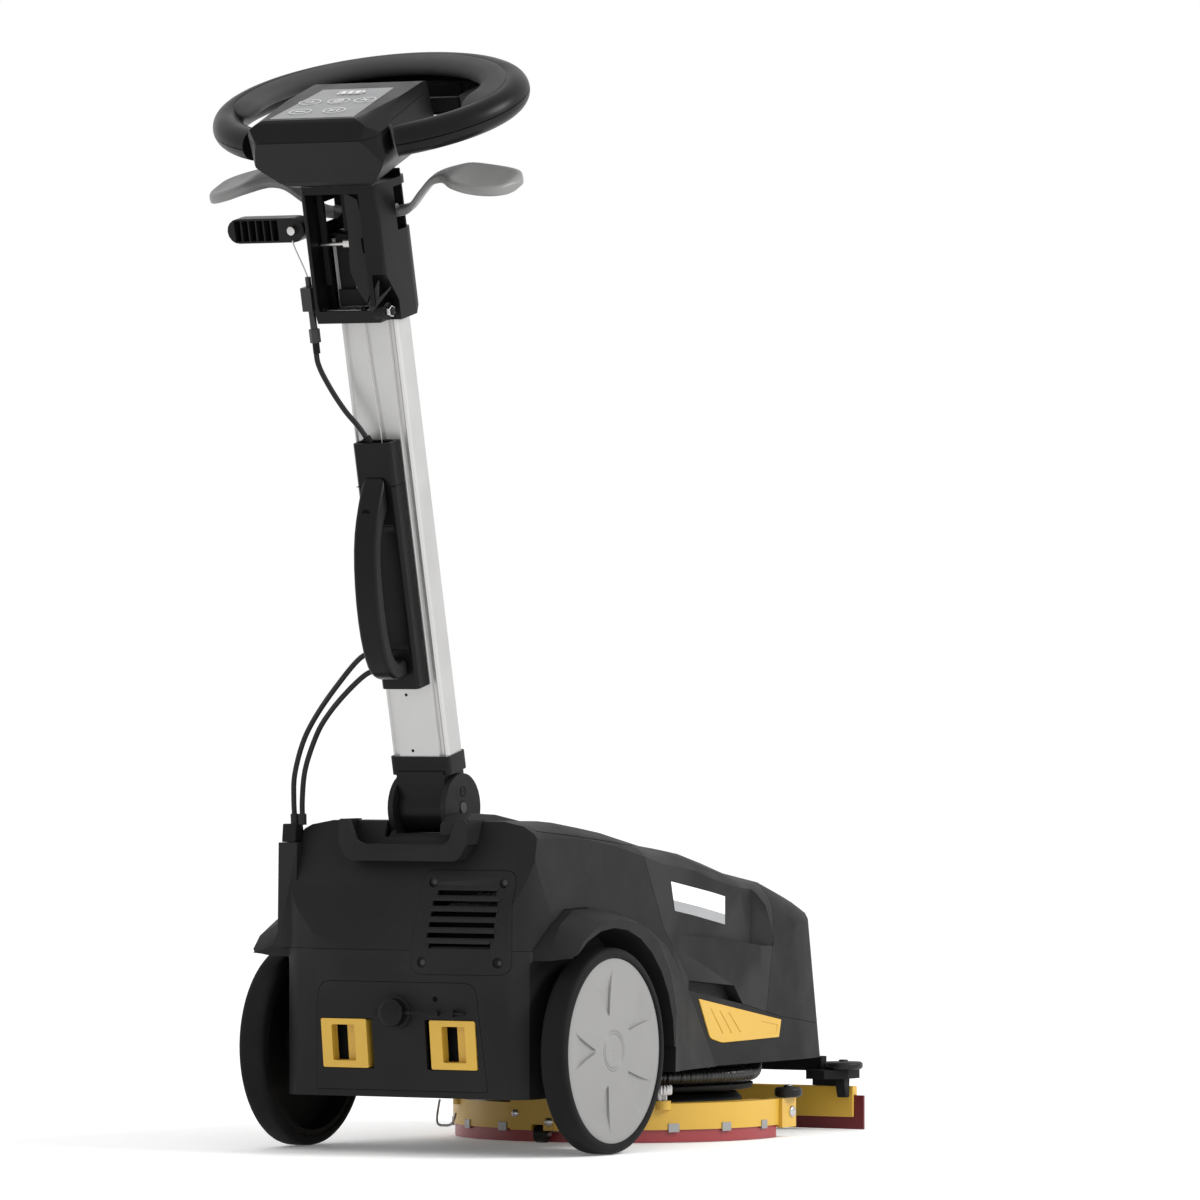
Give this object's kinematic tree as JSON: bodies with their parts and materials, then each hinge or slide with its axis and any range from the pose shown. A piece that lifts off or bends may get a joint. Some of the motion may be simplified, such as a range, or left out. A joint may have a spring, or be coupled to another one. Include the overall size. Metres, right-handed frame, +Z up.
{
  "type": "wet dry floor scrubber",
  "caption": "Walk-behind wet dry floor scrubber with a folding mast, steering ring, disc brush and curved rear squeegee.",
  "frame": {"origin": "on the floor, under the middle of the whole machine's bounding box", "axes": "+X to the operator's right, +Y forward along the travel, +Z up"},
  "size_m": [0.383, 0.8507, 1.1114],
  "materials": {
    "body_plastic": "fine-textured charcoal plastic",
    "black_plastic": "smooth black plastic",
    "yellow_plastic": "satin yellow plastic",
    "grey_plastic": "light grey moulded plastic",
    "soft_grip": "soft dark grey grip",
    "tyre_rubber": "black solid tyre",
    "black_rubber": "black rubber",
    "red_rubber": "translucent red squeegee rubber",
    "dark_red_rubber": "dark red squeegee rubber",
    "mast_aluminium": "anodised extrusion",
    "steel": "machined steel",
    "motor_metal": "black painted motor case",
    "bristle_fibre": "nylon bristles",
    "panel_film": "grey keypad film"
  },
  "bodies": {
    "chassis": {"base_chassis": "body_plastic", "rear_shell": "body_plastic", "top_cover": "body_plastic", "vent_grille": "body_plastic", "grab_rail": "body_plastic", "cable_gland": "black_plastic", "wheel_axle": "steel", "battery_pack": "black_plastic", "suction_motor": "black_plastic", "solution_pump": "black_plastic", "brush_motor": "motor_metal", "deck_plate": "black_plastic", "suction_hose": "black_rubber", "front_bracket": "black_plastic", "front_holder": "yellow_plastic", "front_blade": "dark_red_rubber", "hinge_yoke": "body_plastic", "hinge_pin": "steel", "lower_cable_left": "black_rubber", "lower_cable_right": "black_rubber"},
    "recovery_tank": {"recovery_tank": "body_plastic"},
    "solution_tank": {"solution_tank": "body_plastic"},
    "battery_door": {"battery_door": "body_plastic"},
    "door_latch_left": {"door_latch_left": "yellow_plastic"},
    "door_latch_right": {"door_latch_right": "yellow_plastic"},
    "charge_cap": {"charge_cap": "black_plastic"},
    "side_latch_left": {"side_latch_left": "yellow_plastic"},
    "side_latch_right": {"side_latch_right": "yellow_plastic"},
    "left_wheel": {"tyre_left": "tyre_rubber", "wheel_hub_left": "grey_plastic"},
    "right_wheel": {"tyre_right": "tyre_rubber", "wheel_hub_right": "grey_plastic"},
    "brush": {"brush_disc": "black_plastic", "brush_bristles": "bristle_fibre"},
    "squeegee": {"squeegee_holder": "yellow_plastic", "squeegee_blade": "red_rubber"},
    "support_roller": {"support_roller": "black_rubber"},
    "squeegee_bumper_left": {"squeegee_bumper_left": "black_rubber"},
    "squeegee_bumper_right": {"squeegee_bumper_right": "black_rubber"},
    "thumb_knob_left": {"thumb_knob_left": "steel"},
    "thumb_knob_right": {"thumb_knob_right": "steel"},
    "front_bumper_left": {"front_bumper_left": "black_rubber"},
    "front_bumper_right": {"front_bumper_right": "black_rubber"},
    "mast": {"mast_knuckle": "black_plastic", "mast_tube": "mast_aluminium", "grip_housing": "black_plastic", "carry_handle": "black_plastic", "head_column": "black_plastic", "cross_rod": "steel", "cable_adjuster": "steel", "upper_cable": "black_rubber", "ring_lower": "black_plastic", "ring_pad": "soft_grip", "console_upper": "black_plastic", "console_lower": "black_plastic", "keypad_panel": "panel_film"},
    "squeegee_lever": {"squeegee_lever": "black_plastic"},
    "paddle_lever": {"paddle_lever": "grey_plastic"}
  },
  "joints": [
    {"name": "mast_fold", "type": "hinge", "parent": "chassis", "child": "mast", "pos_m": [0, -0.17805, 0.348], "axis": [1, 0, 0], "range_deg": [-90, 4]},
    {"name": "squeegee_lever_lift", "type": "hinge", "parent": "mast", "child": "squeegee_lever", "pos_m": [-0.06, -0.34569, 0.92905], "axis": [0, 0.9734, 0.2292], "range_deg": [0, 15]},
    {"name": "squeegee_lift", "type": "slide", "parent": "chassis", "child": "squeegee", "axis": [0, 0, 1], "range_m": [0, 0.01]},
    {"name": "paddle_squeeze", "type": "hinge", "parent": "mast", "child": "paddle_lever", "pos_m": [0, -0.31145, 0.94944], "axis": [1, 0, 0], "range_deg": [0, 8], "stiffness_Nm_per_rad": 2, "springref_deg": -2.86},
    {"name": "left_wheel_spin", "type": "hinge", "parent": "chassis", "child": "left_wheel", "pos_m": [0, -0.14345, 0.104], "axis": [1, 0, 0], "continuous": true},
    {"name": "right_wheel_spin", "type": "hinge", "parent": "chassis", "child": "right_wheel", "pos_m": [0, -0.14345, 0.104], "axis": [1, 0, 0], "continuous": true},
    {"name": "brush_spin", "type": "hinge", "parent": "chassis", "child": "brush", "pos_m": [0, 0.19955, 0.03], "axis": [0, 0, 1], "continuous": true},
    {"name": "support_roller_spin", "type": "hinge", "parent": "squeegee", "child": "support_roller", "pos_m": [0.014, 0.01655, 0.009], "axis": [1, 0, 0], "continuous": true},
    {"name": "squeegee_bumper_left_spin", "type": "hinge", "parent": "squeegee", "child": "squeegee_bumper_left", "pos_m": [-0.175, 0.25155, 0.0464], "axis": [0, 0, 1], "continuous": true},
    {"name": "squeegee_bumper_right_spin", "type": "hinge", "parent": "squeegee", "child": "squeegee_bumper_right", "pos_m": [0.175, 0.25155, 0.0464], "axis": [0, 0, 1], "continuous": true},
    {"name": "thumb_knob_left_turn", "type": "hinge", "parent": "squeegee", "child": "thumb_knob_left", "pos_m": [-0.12, 0.08055, 0.05], "axis": [0, 0, 1], "continuous": true},
    {"name": "thumb_knob_right_turn", "type": "hinge", "parent": "squeegee", "child": "thumb_knob_right", "pos_m": [0.12, 0.08055, 0.05], "axis": [0, 0, 1], "continuous": true},
    {"name": "front_bumper_left_spin", "type": "hinge", "parent": "chassis", "child": "front_bumper_left", "pos_m": [-0.158, 0.40455, 0.068], "axis": [0, 0, 1], "continuous": true},
    {"name": "front_bumper_right_spin", "type": "hinge", "parent": "chassis", "child": "front_bumper_right", "pos_m": [0.158, 0.40455, 0.068], "axis": [0, 0, 1], "continuous": true},
    {"name": "battery_door_open", "type": "hinge", "parent": "chassis", "child": "battery_door", "pos_m": [0, -0.24205, 0.064], "axis": [1, 0, 0], "range_deg": [0, 90]},
    {"name": "door_latch_left_slide", "type": "slide", "parent": "battery_door", "child": "door_latch_left", "axis": [1, 0, 0], "range_m": [0, 0.005]},
    {"name": "door_latch_right_slide", "type": "slide", "parent": "battery_door", "child": "door_latch_right", "axis": [-1, 0, 0], "range_m": [0, 0.005]},
    {"name": "charge_cap_open", "type": "hinge", "parent": "battery_door", "child": "charge_cap", "pos_m": [0.05, -0.26295, 0.143], "axis": [0, 0, 1], "range_deg": [0, 100]},
    {"name": "side_latch_left_open", "type": "hinge", "parent": "chassis", "child": "side_latch_left", "pos_m": [-0.1592, 0.26615, 0.113], "axis": [0, 0, -1], "range_deg": [0, 45]},
    {"name": "side_latch_right_open", "type": "hinge", "parent": "chassis", "child": "side_latch_right", "pos_m": [0.1592, 0.26615, 0.113], "axis": [0, 0, 1], "range_deg": [0, 45]},
    {"name": "recovery_tank_lift", "type": "slide", "parent": "chassis", "child": "recovery_tank", "axis": [0, 0, 1], "range_m": [0, 0.12]},
    {"name": "solution_tank_lift", "type": "slide", "parent": "chassis", "child": "solution_tank", "axis": [0, 0.1961, 0.9806], "range_m": [0, 0.12]}
  ],
  "couplings": [
    {"joint": "squeegee_lever_lift", "follows": "squeegee_lift", "rad_per_m": 26.1}
  ]
}
